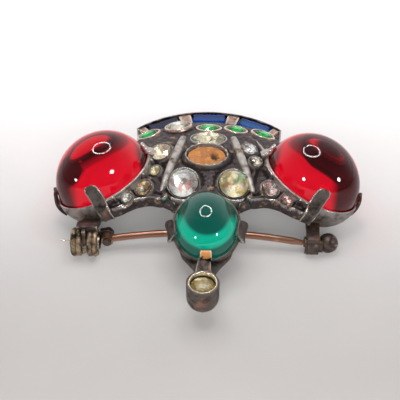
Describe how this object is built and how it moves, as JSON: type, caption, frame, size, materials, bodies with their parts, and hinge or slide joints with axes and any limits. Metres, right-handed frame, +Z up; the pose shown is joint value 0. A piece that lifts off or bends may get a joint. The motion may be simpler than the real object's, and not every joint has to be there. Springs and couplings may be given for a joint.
{
  "type": "crown brooch",
  "caption": "Crown-shaped brooch with domed red and green stones, cut crystal settings, a banded foot with blue baguettes, and a hinged pin with a turning catch behind.",
  "frame": {"origin": "centre of the whole brooch seen from above, on the surface it lies on", "axes": "+X to the right along the pin, from its hinge to its catch; +Y from the finial at the crown's top towards the band at its foot; +Z up, out of the crown's face"},
  "size_m": [0.0444, 0.04, 0.0134],
  "materials": {
    "old_silver": "tarnished silver, dark brown-black in the recesses and bright on worn edges, with traces of a gold wash",
    "red_glass": "polished clear ruby-red glass on foil",
    "green_glass": "polished clear emerald-green glass on foil",
    "clear_crystal": "faceted clear rhinestone, foiled behind",
    "yellow_crystal": "faceted rhinestone gone yellowish, foiled behind",
    "pink_crystal": "faceted rhinestone with a pinkish tint, foiled behind",
    "green_crystal": "faceted green rhinestone, foiled behind",
    "blue_crystal": "step-cut royal-blue glass baguette, foiled behind",
    "old_glue": "rough dried ochre glue",
    "old_brass": "tarnished brass wire",
    "copper_gold": "copper-gold plated wire, worn",
    "brown_brass": "brown tarnished brass"
  },
  "bodies": {
    "root": {"crown_frame": "old_silver", "red_cabochon_left": "red_glass", "red_cabochon_right": "red_glass", "green_cabochon": "green_glass", "finial_stone": "yellow_crystal", "oval_stone": "clear_crystal", "glue_bed": "old_glue", "round_stone_left": "clear_crystal", "round_stone_right": "yellow_crystal", "side_stone_left_1": "yellow_crystal", "side_stone_left_2": "yellow_crystal", "side_stone_left_3": "pink_crystal", "side_stone_left_4": "clear_crystal", "side_stone_right_1": "clear_crystal", "side_stone_right_2": "clear_crystal", "side_stone_right_3": "pink_crystal", "side_stone_right_4": "pink_crystal", "row_stone_1": "green_crystal", "row_stone_2": "clear_crystal", "row_stone_3": "green_crystal", "row_stone_4": "green_crystal", "row_stone_5": "green_crystal", "baguette_left": "blue_crystal", "baguette_centre": "blue_crystal", "baguette_right": "blue_crystal", "spring_coil": "old_brass", "hinge_rivet": "old_brass"},
    "pin": {"pin_stem": "copper_gold"},
    "lock": {"catch_barrel": "brown_brass"}
  },
  "joints": [
    {"name": "pin_swing", "type": "hinge", "parent": "root", "child": "pin", "pos_m": [-0.01385, -0.0062, 0.002], "axis": [0, 1, 0], "range_deg": [0, 70]},
    {"name": "catch_turn", "type": "hinge", "parent": "root", "child": "lock", "pos_m": [0.0147, -0.0062, 0.0014], "axis": [1, 0, 0], "range_deg": [0, 100]}
  ]
}
